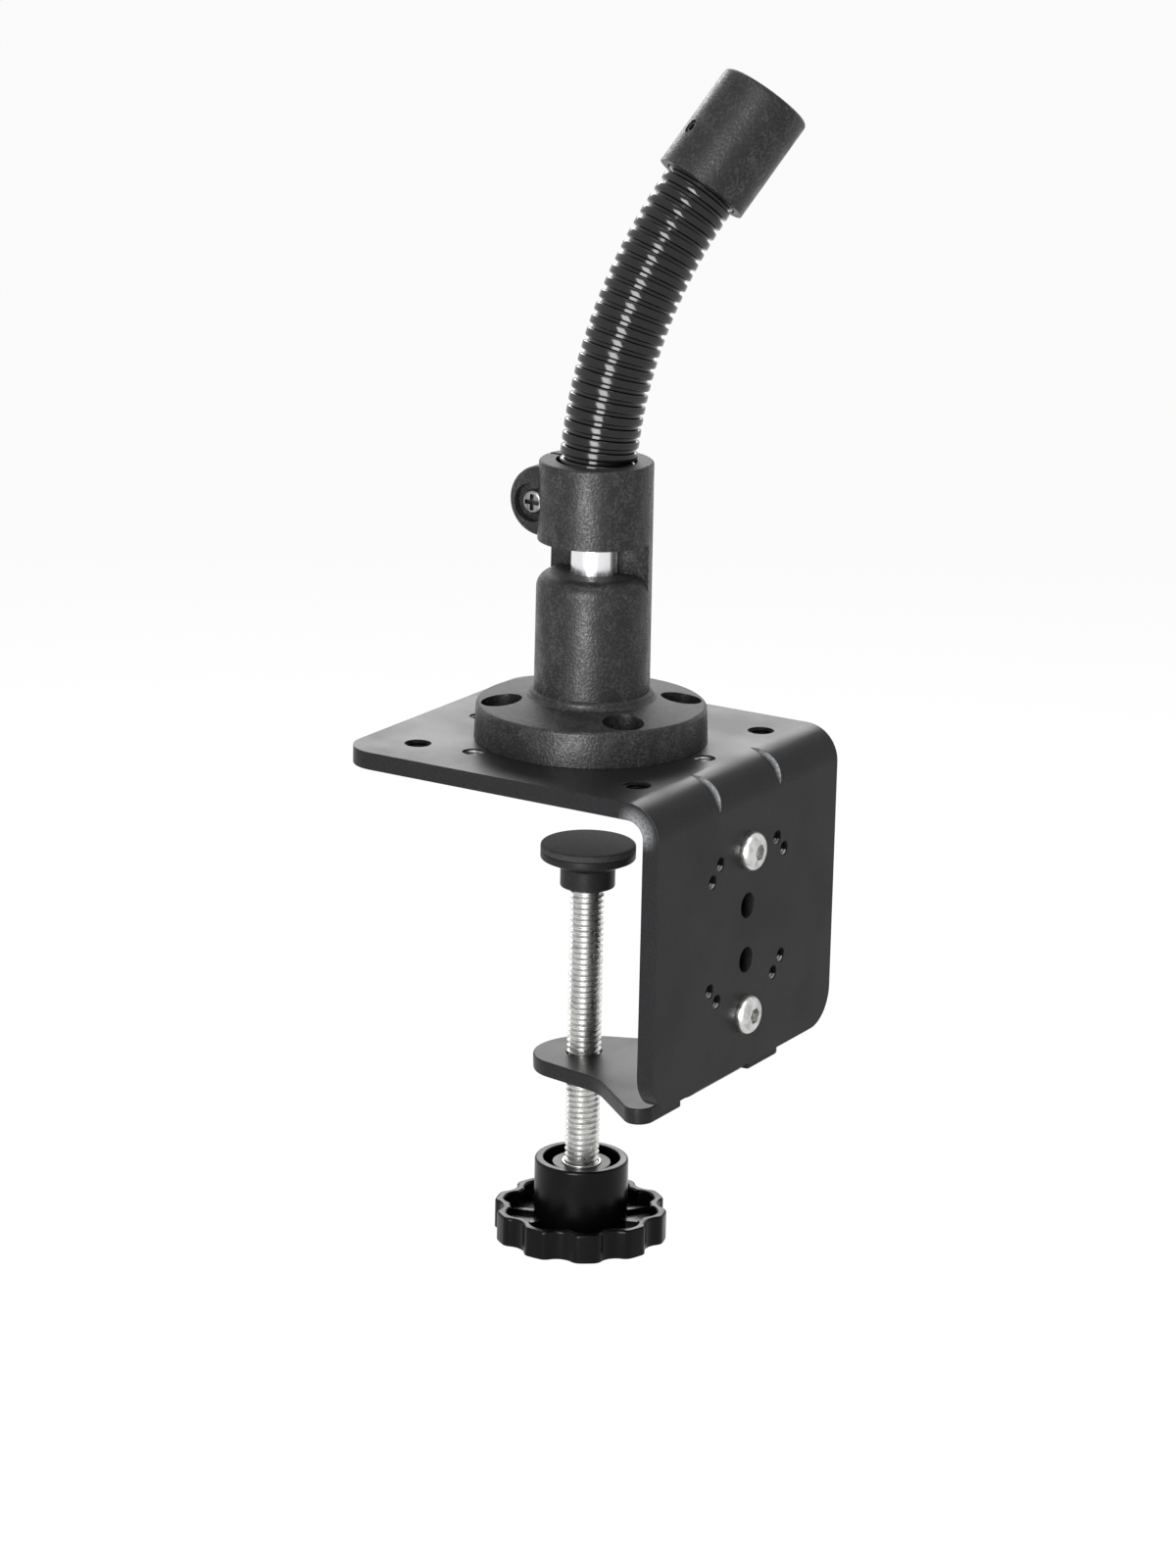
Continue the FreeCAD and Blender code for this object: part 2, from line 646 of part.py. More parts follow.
pad(fixings, addSketch(fixings, "XY_Plane", rings=fourCorners("row_short / 2", "row_long / 2", "fix_shank"),
                       lift="fix_end"), "base_seat - fix_end")
pad(fixings, addSketch(fixings, "XY_Plane", rings=fourCorners("row_short / 2", "row_long / 2", "fix_head"),
                       lift="base_seat"), "fix_head_height")
sockets = [hexagon("fix_socket", "%srow_short / 2" % one, "%srow_long / 2" % two)
           for one in ("", "-") for two in ("", "-")]
pocket(fixings, addSketch(fixings, "XY_Plane", sockets, lift="base_seat + fix_head_height"),
       "fix_head_height / 2")

# Post: split collar above a cross slot, with a pinch ear on the +Y side.
post = makeBody("post")
turned(post, addSketch(post, "XZ_Plane", [[
    ("0", "collar_level"), ("post_foot", "collar_level"), ("post_head", "post_top"), ("0", "post_top")]]))
pad(post, addSketch(post, "YZ_Plane", rings=[("ear_along", "ear_level", "ear_radius")]), "ear_width",
    middle=True)
grooved(post, addSketch(post, "XZ_Plane", [[
    ("0", "collar_level - overrun"), ("centre_shank + thread_play", "collar_level - overrun"),
    ("centre_shank + thread_play", "rod_floor"), ("rod_bore", "rod_floor"), ("rod_bore", "sleeve_floor"),
    ("sleeve_bore", "sleeve_floor"), ("sleeve_bore", "post_top + overrun"), ("0", "post_top + overrun")]]))
pocket(post, addSketch(post, "XZ_Plane", [block("slot_low", "slot_high", "-2 * post_foot", "slot_wall")]),
       "4 * post_foot", middle=True)
slotLow = size("slot_low")
rounded(post, lambda edge: edge.Curve.TypeId == "Part::GeomCircle" and near(edge.Curve.Center.z, slotLow)
        and edge.Curve.Radius > size("post_head") and near(edge.BoundBox.ZLength, 0), "slot_round")
pocket(post, addSketch(post, "XY_Plane", [block("0", "2 * post_foot", "-split_width / 2", "split_width / 2")],
                       lift="post_top"), "post_top - slot_high + overrun")
rounded(post, lambda edge: ringAt(edge, size("post_head"), size("post_top")), "post_edge")
rounded(post, lambda edge: edge.Curve.TypeId == "Part::GeomCircle"
        and near(edge.Curve.Radius, size("ear_radius"))
        and near(abs(edge.Curve.Center.x), size("ear_width") / 2), "ear_round")
earSpot = ("ear_hole_along", "ear_hole_level")
pocket(post, addSketch(post, "YZ_Plane", rings=[earSpot + ("ear_hole",)]), "2 * ear_width", middle=True)
pocket(post, addSketch(post, "YZ_Plane", rings=[earSpot + ("ear_bore",)], lift="-ear_seat"), "ear_width")
nutSeat = hexagon("ear_nut_across + ear_nut_play", *earSpot)
pocket(post, addSketch(post, "YZ_Plane", [nutSeat], lift="ear_seat"), "ear_width", back=True)


# Fasteners of the ear lie along X, their local Z pointing at -X.
def lieAcross(body):
    turn = FreeCAD.Rotation(FreeCAD.Vector(0, 1, 0), -90)
    body.Placement = FreeCAD.Placement(FreeCAD.Vector(0, 0, 0), turn)
    bind(body, "Placement.Base.y", "ear_hole_along")
    bind(body, "Placement.Base.z", "ear_hole_level")


earScrew = makeBody("ear_screw")
lieAcross(earScrew)
turned(earScrew, addSketch(earScrew, "XZ_Plane", [[
    ("0", "-ear_shank_end"), ("ear_shank", "-ear_shank_end"), ("ear_shank", "ear_seat"),
    ("ear_head", "ear_seat"), ("ear_head", "ear_seat + ear_head_height"),
    ("0", "ear_seat + ear_head_height")]]))
rounded(earScrew, lambda edge: ringAt(edge, size("ear_head"), size("ear_seat") + size("ear_head_height")),
        "ear_head_height / 2")
arm = "ear_cross / 2"
slim = "ear_cross_width / 2"
cross = [(slim, slim), (slim, arm), ("-" + slim, arm), ("-" + slim, slim), ("-" + arm, slim),
         ("-" + arm, "-" + slim), ("-" + slim, "-" + slim), ("-" + slim, "-" + arm), (slim, "-" + arm),
         (slim, "-" + slim), (arm, "-" + slim), (arm, slim)]
pocket(earScrew, addSketch(earScrew, "XY_Plane", [cross], lift="ear_seat + ear_head_height"),
       "ear_cross_depth")
earNut = makeBody("ear_nut")
lieAcross(earNut)
pad(earNut, addSketch(earNut, "XY_Plane", [hexagon("ear_nut_across", first=30)],
                      [("0", "0", "ear_shank + thread_play")], lift="-ear_seat"), "ear_nut_height", back=True)
centreBolt = makeBody("post_bolt")
headTop = "(centre_seat - washer_gauge)"
headLow = headTop + " - centre_head_height"
turned(centreBolt, addSketch(centreBolt, "XZ_Plane", [[
    ("0", headLow), ("centre_head", headLow), ("centre_head", headTop), ("centre_shank", headTop),
    ("centre_shank", "centre_tip"), ("0", "centre_tip")]]))
pocket(centreBolt, addSketch(centreBolt, "XY_Plane", [hexagon("centre_socket")], lift=headLow),
       "centre_head_height / 2", back=True)
washer = makeBody("post_washer")
pad(washer, addSketch(washer, "XY_Plane", rings=[
    ("0", "0", "washer_radius"), ("0", "0", "centre_shank + thread_play")], lift=headTop), "washer_gauge")


# The rod and its ribbed sleeve bend in one upright plane, built along local X and turned to its azimuth.
def leaning(body):
    turnBy(body, "Placement", (0, 0, -1), "lean_azimuth")


bendReach = "(bend_radius - bend_radius * cos(bend_angle))"
bendRise = "(bend_start + bend_radius * sin(bend_angle))"


def atBendEnd(sketch):
    turnBy(sketch, "AttachmentOffset", (0, 1, 0), "bend_angle")
    bind(sketch, "AttachmentOffset.Base.x", bendReach)
    bind(sketch, "AttachmentOffset.Base.z", bendRise)
    return sketch


rod = makeBody("core_rod")
leaning(rod)
bar = [("0", "0", "rod_radius")]
pad(rod, addSketch(rod, "XY_Plane", rings=bar, lift="rod_bottom"), "bend_start - rod_bottom")
turned(rod, addSketch(rod, "XY_Plane", rings=bar, lift="bend_start", axis="bend_radius"),
       "Axis0", "bend_angle")
pad(rod, atBendEnd(addSketch(rod, "XY_Plane", rings=bar)), "rod_end")

sleeve = makeBody("conduit")
leaning(sleeve)
tube = [("0", "0", "sleeve_root"), ("0", "0", "sleeve_inner")]
pad(sleeve, addSketch(sleeve, "XY_Plane", rings=tube, lift="sleeve_start"), "bend_start - sleeve_start")
turned(sleeve, addSketch(sleeve, "XY_Plane", rings=tube, lift="bend_start", axis="bend_radius"),
       "Axis0", "bend_angle")
pad(sleeve, atBendEnd(addSketch(sleeve, "XY_Plane", rings=tube)), "sleeve_tail")


def ribOutline(level):
    inside = "(sleeve_inner + sleeve_root) / 2"
    return [(inside, "%s - rib_foot / 2" % level), ("sleeve_outer", "%s - rib_crest / 2" % level),
            ("sleeve_outer", "%s + rib_crest / 2" % level), (inside, "%s + rib_foot / 2" % level)]


firstRib = turned(sleeve, addSketch(sleeve, "XZ_Plane", [ribOutline("bend_start")]))
bendAxis = addSketch(sleeve, "XY_Plane", lift="bend_start", axis="bend_radius")
ribSteps = int(size("bend_radius") * math.radians(size("bend_angle")) / size("rib_pitch"))
around(sleeve, [firstRib], (bendAxis, ["Axis0"]), ribSteps + 1,
       "%d * rib_pitch / bend_radius * 180 / pi" % ribSteps, True)
for turn in range(1, int(size("rib_low")) + 1):
    turned(sleeve, addSketch(sleeve, "XZ_Plane", [ribOutline("(bend_start - %d * rib_pitch)" % turn)]))

# End fitting: a plain socket on the rod's tip with a threaded insert for the holder's stud.
atEnd = ("placement(vector(%s * cos(lean_azimuth); -%s * sin(lean_azimuth); %s);"
         " rotation(vector(0; 0; 1); -lean_azimuth) * rotation(vector(0; 1; 0); bend_angle))"
         % (bendReach, bendReach, bendRise))
socket = makeBody("end_fitting")
turned(socket, addSketch(socket, "XZ_Plane", [[
    ("mouth_bore", "0"), ("socket_radius", "0"), ("socket_radius", "socket_length"),
    ("end_insert_radius + thread_play", "socket_length"),
    ("end_insert_radius + thread_play", "socket_length - end_insert_length"),
    ("0", "socket_length - end_insert_length"), ("0", "socket_depth"), ("rod_bore", "socket_depth"),
    ("rod_bore", "mouth_depth"), ("mouth_bore", "mouth_depth")]]))
rounded(socket, lambda edge: ringAt(edge, size("socket_radius"), size("socket_length")), "socket_round")
setScrewHole = [("0", "set_screw_level", "set_screw_radius + thread_play")]
pocket(socket, addSketch(socket, "YZ_Plane", rings=setScrewHole), "socket_radius + overrun")
setScrew = makeBody("end_set_screw")
pad(setScrew, addSketch(setScrew, "YZ_Plane", rings=[("0", "set_screw_level", "set_screw_radius")],
                        lift="-rod_radius - thread_play"),
    "socket_radius - rod_radius - set_screw_sunk", back=True)
pocket(setScrew, addSketch(setScrew, "YZ_Plane", [hexagon("set_screw_key", "0", "set_screw_level")],
                           lift="-socket_radius"), "set_screw_key_depth + set_screw_sunk", back=True)
endInsert = makeBody("end_insert")
pad(endInsert, addSketch(endInsert, "XY_Plane", rings=[
    ("0", "0", "end_insert_radius"), ("0", "0", "end_thread")], lift="socket_length"),
    "end_insert_length", back=True)
for body in (socket, setScrew, endInsert):
    bind(body, "Placement", atEnd)

doc.recompute()
bodies = [item for item in doc.Objects if item.TypeId == "PartDesign::Body"]
for item in doc.Objects:
    if "Invalid" in item.State or "Error" in item.State:
        raise ValueError("not built: " + item.Name)
for body in bodies:
    if not body.Shape.isValid() or body.Shape.Volume <= 0:
        raise ValueError("not a sound solid: " + body.Label)
for body in bodies:
    body.Shape.exportStep("parts/%s.step" % body.Label)
    print("%-16s %d solid(s), %.2f cm3" % (body.Label, len(body.Shape.Solids), body.Shape.Volume / 1000))
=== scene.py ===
import json
from math import cos, hypot, pi, radians, sin

import bmesh
import bpy
from mathutils import Matrix, Vector


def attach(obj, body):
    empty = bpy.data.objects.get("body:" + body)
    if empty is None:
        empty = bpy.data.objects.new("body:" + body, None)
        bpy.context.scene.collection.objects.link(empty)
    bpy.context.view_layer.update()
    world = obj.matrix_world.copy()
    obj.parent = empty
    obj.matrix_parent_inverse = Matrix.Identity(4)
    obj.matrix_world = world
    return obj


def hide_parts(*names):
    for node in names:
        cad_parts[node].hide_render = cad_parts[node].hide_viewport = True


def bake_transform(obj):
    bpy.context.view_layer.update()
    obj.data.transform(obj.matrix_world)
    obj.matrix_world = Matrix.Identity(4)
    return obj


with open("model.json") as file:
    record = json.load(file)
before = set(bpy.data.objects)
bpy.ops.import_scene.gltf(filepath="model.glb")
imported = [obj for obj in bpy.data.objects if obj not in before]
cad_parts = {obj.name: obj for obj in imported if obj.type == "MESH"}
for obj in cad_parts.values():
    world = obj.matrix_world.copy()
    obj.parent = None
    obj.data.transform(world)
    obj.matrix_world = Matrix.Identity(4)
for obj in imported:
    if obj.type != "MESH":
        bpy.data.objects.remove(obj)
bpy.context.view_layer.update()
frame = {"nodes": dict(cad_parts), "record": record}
mm = 0.001


def linear(hexColour):
    channels = [int(hexColour[i:i + 2], 16) / 255 for i in (1, 3, 5)]
    return tuple(c / 12.92 if c <= 0.04045 else ((c + 0.055) / 1.055) ** 2.4 for c in channels) + (1.0,)


# adds one node with its settings, its values and what feeds its inputs, and gives its first used output
def addNode(tree, kind, settings=None, values=None, links=None, out=0):
    node = tree.nodes.new(kind)
    for key, value in (settings or {}).items():
        setattr(node, key, value)
    for key, value in (values or {}).items():
        node.inputs[key].default_value = value
    for key, source in (links or {}).items():
        tree.links.new(source, node.inputs[key])
    return node.outputs[out]


def startMaterial(name, finish):
    material = bpy.data.materials.new(name)
    material.use_nodes = True
    tree = material.node_tree
    shader = tree.nodes["Principled BSDF"]
    shader.inputs["Base Color"].default_value = linear(finish["colour"])
    shader.inputs["Metallic"].default_value = finish.get("metallic", 0.0)
    shader.inputs["Roughness"].default_value = finish["roughness"]
    if "ior" in finish:
        shader.inputs["IOR"].default_value = finish["ior"]
    return material, tree, shader, addNode(tree, "ShaderNodeTexCoord", out="Object")


# steel sprayed with polyester powder and baked: satin black, an orange peel about 1 mm across and a faint
# cloud in the gloss; the lips of the pressed grooves and the bulged edge of the bend get a patchy grey painted
# highlight
powderFinish = {"colour": "#19191a", "fleck": "#28282a", "paintedHighlight": "#7e7f81", "roughness": 0.38,
                "glossy": 0.31, "dull": 0.42, "ior": 1.2, "peelMm": 1.1, "fleckMm": 0.4, "cloudMm": 24,
                "peelDepthMm": 0.035, "patchMm": 0.7,
                "bendCentre": (0, -40.4, -4.8), "lipMm": (8.1, 9.0), "bulgeMm": (5.6, 9.2),
                "bendMiddle": (0, -45.4, 0.2), "fadeMm": (3.5, 8)}


def powderCoatedSteel(finish):
    material, tree, shader, place = startMaterial("powderCoatedSteel", finish)
    peel = addNode(tree, "ShaderNodeTexNoise", values={"Scale": 1000 / finish["peelMm"], "Detail": 3.0},
                   links={"Vector": place})
    fleck = addNode(tree, "ShaderNodeTexNoise", values={"Scale": 1000 / finish["fleckMm"], "Detail": 2.0},
                    links={"Vector": place})
    cloud = addNode(tree, "ShaderNodeTexNoise", values={"Scale": 1000 / finish["cloudMm"], "Detail": 3.0},
                    links={"Vector": place})
    gloss = addNode(tree, "ShaderNodeMapRange", values={1: 0.35, 2: 0.65, 3: finish["glossy"], 4: finish["dull"]},
                    links={0: cloud})
    share = addNode(tree, "ShaderNodeMapRange", values={1: 0.55, 2: 0.72}, links={0: fleck})
    coat = addNode(tree, "ShaderNodeMix", {"data_type": "RGBA"},
                   {6: linear(finish["colour"]), 7: linear(finish["fleck"])}, {0: share}, out=2)
    # how far the surface lies from the bend's middle and from its centre line, and how far it faces sideways
    level = addNode(tree, "ShaderNodeVectorMath", {"operation": "MULTIPLY"}, {1: (0, 1, 1)}, {0: place})
    apart = addNode(tree, "ShaderNodeVectorMath", {"operation": "DISTANCE"},
                    {1: [amount * mm for amount in finish["bendMiddle"]]}, {0: level}, out="Value")
    near = addNode(tree, "ShaderNodeMapRange",
                   values={1: finish["fadeMm"][0] * mm, 2: finish["fadeMm"][1] * mm, 3: 1.0, 4: 0.0},
                   links={0: apart})
    height = addNode(tree, "ShaderNodeVectorMath", {"operation": "DISTANCE"},
                     {1: [amount * mm for amount in finish["bendCentre"]]}, {0: level}, out="Value")
    lip = addNode(tree, "ShaderNodeMapRange", values={1: finish["lipMm"][0] * mm, 2: finish["lipMm"][1] * mm},
                  links={0: height})
    bulge = addNode(tree, "ShaderNodeMapRange",
                    values={1: finish["bulgeMm"][0] * mm, 2: finish["bulgeMm"][1] * mm, 3: 0.75, 4: 0.0},
                    links={0: height})
    facing = addNode(tree, "ShaderNodeSeparateXYZ",
                     links={0: addNode(tree, "ShaderNodeNewGeometry", out="True Normal")})
    sideways = addNode(tree, "ShaderNodeMath", {"operation": "ABSOLUTE"}, links={0: facing})
    flank = addNode(tree, "ShaderNodeMapRange", values={1: 0.5, 2: 0.75}, links={0: sideways})
    edge = addNode(tree, "ShaderNodeMapRange", values={1: 0.88, 2: 0.96}, links={0: sideways})
    where = addNode(tree, "ShaderNodeMix", links={0: edge, 2: lip, 3: bulge})
    where = addNode(tree, "ShaderNodeMath", {"operation": "MULTIPLY"}, links={0: where, 1: flank})
    patch = addNode(tree, "ShaderNodeTexNoise", values={"Scale": 1000 / finish["patchMm"], "Detail": 4.0},
                    links={"Vector": place})
    highlightPatches = addNode(tree, "ShaderNodeMapRange", values={1: 0.3, 2: 0.6, 3: 0.4, 4: 1.0}, links={0: patch})
    # painted highlight: near the bend, the groove lips and the bend's bulged edge are tinted a patchy lighter grey
    paintedHighlight = addNode(tree, "ShaderNodeMath", {"operation": "MULTIPLY"}, links={0: near, 1: where})
    paintedHighlight = addNode(tree, "ShaderNodeMath", {"operation": "MULTIPLY"}, links={0: paintedHighlight, 1: highlightPatches})
    tint = addNode(tree, "ShaderNodeMix", {"data_type": "RGBA"}, {7: linear(finish["paintedHighlight"])},
                   {0: paintedHighlight, 6: coat}, out=2)
    bump = addNode(tree, "ShaderNodeBump", values={"Strength": 0.5, "Distance": finish["peelDepthMm"] * mm},
                   links={"Height": peel})
    tree.links.new(gloss, shader.inputs["Roughness"])
    tree.links.new(tint, shader.inputs["Base Color"])
    tree.links.new(bump, shader.inputs["Normal"])
    return material


# glass-filled nylon as it leaves the mould: matte black, the fibres just under its skin break up the gloss,
# with a few faint grey smears that run with the flow; faces that look up come from the blasted half of the mould
nylonFinish = {"colour": "#111112", "smear": "#363637", "roughness": 0.36, "glossy": 0.24, "dull": 0.48,
               "ior": 1.36, "grainMm": 0.7, "smearMm": 5, "flow": (1, 1, 0.6), "grainDepthMm": 0.17,
               "blasted": 0.62, "blastedFrom": (0.66, 0.78), "blastedBump": 0.2}


def glassFilledNylon(finish):
    material, tree, shader, place = startMaterial("glassFilledNylon", finish)
    stretched = addNode(tree, "ShaderNodeMapping", values={"Scale": finish["flow"]}, links={"Vector": place})
    grain = addNode(tree, "ShaderNodeTexNoise", values={"Scale": 1000 / finish["grainMm"], "Detail": 4.0},
                    links={"Vector": place})
    smear = addNode(tree, "ShaderNodeTexNoise", values={"Scale": 1000 / finish["smearMm"], "Detail": 7.0,
                                                        "Roughness": 0.7}, links={"Vector": stretched})
    mixed = addNode(tree, "ShaderNodeMix", values={0: 0.5}, links={2: smear, 3: grain})
    gloss = addNode(tree, "ShaderNodeMapRange", values={1: 0.38, 2: 0.62, 3: finish["dull"], 4: finish["glossy"]},
                    links={0: mixed})
    share = addNode(tree, "ShaderNodeMapRange", values={1: 0.47, 2: 0.67}, links={0: mixed})
    tint = addNode(tree, "ShaderNodeMix", {"data_type": "RGBA"},
                   {6: linear(finish["colour"]), 7: linear(finish["smear"])}, {0: share}, out=2)
    facing = addNode(tree, "ShaderNodeSeparateXYZ", links={0: addNode(tree, "ShaderNodeTexCoord", out="Normal")},
                     out="Z")
    upward = addNode(tree, "ShaderNodeMapRange",
                     values={1: finish["blastedFrom"][0], 2: finish["blastedFrom"][1]}, links={0: facing})
    gloss = addNode(tree, "ShaderNodeMix", values={3: finish["blasted"]}, links={0: upward, 2: gloss})
    depth = addNode(tree, "ShaderNodeMapRange", values={3: 0.7, 4: finish["blastedBump"]}, links={0: upward})
    bump = addNode(tree, "ShaderNodeBump", values={"Distance": finish["grainDepthMm"] * mm},
                   links={"Height": grain, "Strength": depth})
    tree.links.new(gloss, shader.inputs["Roughness"])
    tree.links.new(tint, shader.inputs["Base Color"])
    tree.links.new(bump, shader.inputs["Normal"])
    return material


# polypropylene loom drawn over a corrugated die: glossy black, with a slow waviness from cooling
loomFinish = {"colour": "#08080a", "roughness": 0.15, "glossy": 0.11, "dull": 0.2, "ior": 1.42,
              "smearMm": 4, "waveMm": 2.5, "waveDepthMm": 0.02}


def corrugatedPolypropylene(finish):
    material, tree, shader, place = startMaterial("corrugatedPolypropylene", finish)
    smear = addNode(tree, "ShaderNodeTexNoise", values={"Scale": 1000 / finish["smearMm"], "Detail": 3.0},
                    links={"Vector": place})
    gloss = addNode(tree, "ShaderNodeMapRange", values={1: 0.35, 2: 0.7, 3: finish["glossy"], 4: finish["dull"]},
                    links={0: smear})
    wave = addNode(tree, "ShaderNodeTexNoise", values={"Scale": 1000 / finish["waveMm"], "Detail": 2.0},
                   links={"Vector": place})
    bump = addNode(tree, "ShaderNodeBump", values={"Strength": 0.4, "Distance": finish["waveDepthMm"] * mm},
                   links={"Height": wave})
    tree.links.new(gloss, shader.inputs["Roughness"])
    tree.links.new(bump, shader.inputs["Normal"])
    return material


# injection-moulded nylon from a polished mould: black, between satin and glossy; its colour is set deeper than its own
# as painted shade, for the shade it hangs in under the desk
knobFinish = {"colour": "#040405", "roughness": 0.28, "glossy": 0.2, "dull": 0.32, "ior": 1.22,
              "patchMm": 9, "grainMm": 0.8, "grainDepthMm": 0.02}


def polishedNylon(finish):
    material, tree, shader, place = startMaterial("polishedNylon", finish)
    patch = addNode(tree, "ShaderNodeTexNoise", values={"Scale": 1000 / finish["patchMm"], "Detail": 3.0},
                    links={"Vector": place})
    gloss = addNode(tree, "ShaderNodeMapRange", values={1: 0.35, 2: 0.65, 3: finish["glossy"], 4: finish["dull"]},
                    links={0: patch})
    grain = addNode(tree, "ShaderNodeTexNoise", values={"Scale": 1000 / finish["grainMm"], "Detail": 2.0},
                    links={"Vector": place})
    bump = addNode(tree, "ShaderNodeBump", values={"Strength": 0.3, "Distance": finish["grainDepthMm"] * mm},
                   links={"Height": grain})
    tree.links.new(gloss, shader.inputs["Roughness"])
    tree.links.new(bump, shader.inputs["Normal"])
    return material


# round bar drawn through a die: bright aluminium with fine lines along its length, drawn coarser than they are
aluminiumFinish = {"colour": "#ececee", "metallic": 1.0, "roughness": 0.26, "glossy": 0.18, "dull": 0.34,
                   "lineMm": 0.6, "along": (1, 1, 0.03), "lineDepthMm": 0.015}


def drawnAluminium(finish):
    material, tree, shader, place = startMaterial("drawnAluminium", finish)
    stretched = addNode(tree, "ShaderNodeMapping", values={"Scale": finish["along"]}, links={"Vector": place})
    lines = addNode(tree, "ShaderNodeTexNoise", values={"Scale": 1000 / finish["lineMm"], "Detail": 3.0},
                    links={"Vector": stretched})
    gloss = addNode(tree, "ShaderNodeMapRange", values={1: 0.3, 2: 0.7, 3: finish["glossy"], 4: finish["dull"]},
                    links={0: lines})
    bump = addNode(tree, "ShaderNodeBump", values={"Strength": 0.3, "Distance": finish["lineDepthMm"] * mm},
                   links={"Height": lines})
    tree.links.new(gloss, shader.inputs["Roughness"])
    tree.links.new(bump, shader.inputs["Normal"])
    return material


# steel barrel-plated with zinc: bright and slightly cloudy, with small nicks from the barrel
zincFinish = {"colour": "#cfcfcd", "cloudy": "#a9a9a8", "metallic": 1.0, "roughness": 0.3, "glossy": 0.2,
              "dull": 0.4, "cloudMm": 2.2, "nickMm": 0.7, "nickDepthMm": 0.02}
# the small screw of the ear is plated thinner and has gone grey
greyZincFinish = {"colour": "#8e8e8c", "cloudy": "#5c5c5b", "metallic": 1.0, "roughness": 0.36, "glossy": 0.28,
                  "dull": 0.46, "cloudMm": 1.4, "nickMm": 0.6, "nickDepthMm": 0.02}
# steel blackened in hot salts: dark, with an oily sheen
oxideFinish = {"colour": "#434345", "cloudy": "#29292a", "metallic": 1.0, "roughness": 0.4, "glossy": 0.32,
               "dull": 0.46, "cloudMm": 1.5, "nickMm": 0.7, "nickDepthMm": 0.01}
# painted shade for the insides of the tapped holes: near-black steel
threadShadeFinish = {"colour": "#161617", "cloudy": "#0c0c0d", "metallic": 1.0, "roughness": 0.4, "glossy": 0.3,
               "dull": 0.5, "cloudMm": 1.2, "nickMm": 0.6, "nickDepthMm": 0.01}
# free-cutting brass from the lathe: bright yellow, dulled in spots
brassFinish = {"colour": "#d8ae5c", "cloudy": "#b98f45", "metallic": 1.0, "roughness": 0.28, "glossy": 0.2,
               "dull": 0.36, "cloudMm": 1.2, "nickMm": 0.5, "nickDepthMm": 0.01}


def barrelledMetal(name, finish):
    material, tree, shader, place = startMaterial(name, finish)
    cloud = addNode(tree, "ShaderNodeTexNoise", values={"Scale": 1000 / finish["cloudMm"], "Detail": 3.0},
                    links={"Vector": place})
    gloss = addNode(tree, "ShaderNodeMapRange", values={1: 0.3, 2: 0.7, 3: finish["glossy"], 4: finish["dull"]},
                    links={0: cloud})
    share = addNode(tree, "ShaderNodeMapRange", values={1: 0.42, 2: 0.7}, links={0: cloud})
    tint = addNode(tree, "ShaderNodeMix", {"data_type": "RGBA"},
                   {6: linear(finish["colour"]), 7: linear(finish["cloudy"])}, {0: share}, out=2)
    nicks = addNode(tree, "ShaderNodeTexNoise", values={"Scale": 1000 / finish["nickMm"], "Detail": 2.0},
                    links={"Vector": place})
    bump = addNode(tree, "ShaderNodeBump", values={"Strength": 0.4, "Distance": finish["nickDepthMm"] * mm},
                   links={"Height": nicks})
    tree.links.new(gloss, shader.inputs["Roughness"])
    tree.links.new(tint, shader.inputs["Base Color"])
    tree.links.new(bump, shader.inputs["Normal"])
    return material


# neoprene moulded against a blasted plate: dull, with a fine grain
rubberFinish = {"colour": "#121212", "dusty": "#242424", "roughness": 0.8, "grainMm": 0.8, "grainDepthMm": 0.08}


def mouldedNeoprene(finish):
    material, tree, shader, place = startMaterial("mouldedNeoprene", finish)
    grain = addNode(tree, "ShaderNodeTexNoise", values={"Scale": 1000 / finish["grainMm"], "Detail": 3.0},
                    links={"Vector": place})
    share = addNode(tree, "ShaderNodeMapRange", values={1: 0.4, 2: 0.7}, links={0: grain})
    tint = addNode(tree, "ShaderNodeMix", {"data_type": "RGBA"},
                   {6: linear(finish["colour"]), 7: linear(finish["dusty"])}, {0: share}, out=2)
    bump = addNode(tree, "ShaderNodeBump", values={"Strength": 0.6, "Distance": finish["grainDepthMm"] * mm},
                   links={"Height": grain})
    tree.links.new(tint, shader.inputs["Base Color"])
    tree.links.new(bump, shader.inputs["Normal"])
    return material


finishes = {
    "powder_coat": powderCoatedSteel(powderFinish), "composite": glassFilledNylon(nylonFinish),
    "sleeve_black": corrugatedPolypropylene(loomFinish), "knob_black": polishedNylon(knobFinish),
    "rod_alloy": drawnAluminium(aluminiumFinish), "bright_steel": barrelledMetal("zincPlatedSteel", zincFinish),
    "dark_steel": barrelledMetal("blackOxideSteel", oxideFinish), "cushion_rubber": mouldedNeoprene(rubberFinish),
    "insert_brass": barrelledMetal("turnedBrass", brassFinish),
}
greyZinc = barrelledMetal("greyZincSteel", greyZincFinish)
threadShadeSteel = barrelledMetal("threadShadeSteel", threadShadeFinish)
print("materials:", len(finishes) + 2)
slotOf = {entry["node"]: entry["material_slot"] for entry in frame["record"]["subparts"]}
bodyOf = {node: body for body, nodes in frame["record"]["behaviour"]["bodies"].items() for node in nodes}


# a finished piece: it takes the finish and the body of the first CAD node that it stands for
def addPiece(name, mesh, *nodes, rides=True):
    piece = bpy.data.objects.new(name, mesh)
    bpy.context.scene.collection.objects.link(piece)
    mesh.materials.clear()
    mesh.materials.append(finishes[slotOf[nodes[0]]])
    if rides:
        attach(piece, bodyOf[nodes[0]])
    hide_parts(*nodes)
    return piece


def smoothed(bm, angle=35):
    for face in bm.faces:
        face.smooth = True
    for edge in bm.edges:
        edge.smooth = not (edge.is_manifold and edge.calc_face_angle() > radians(angle))


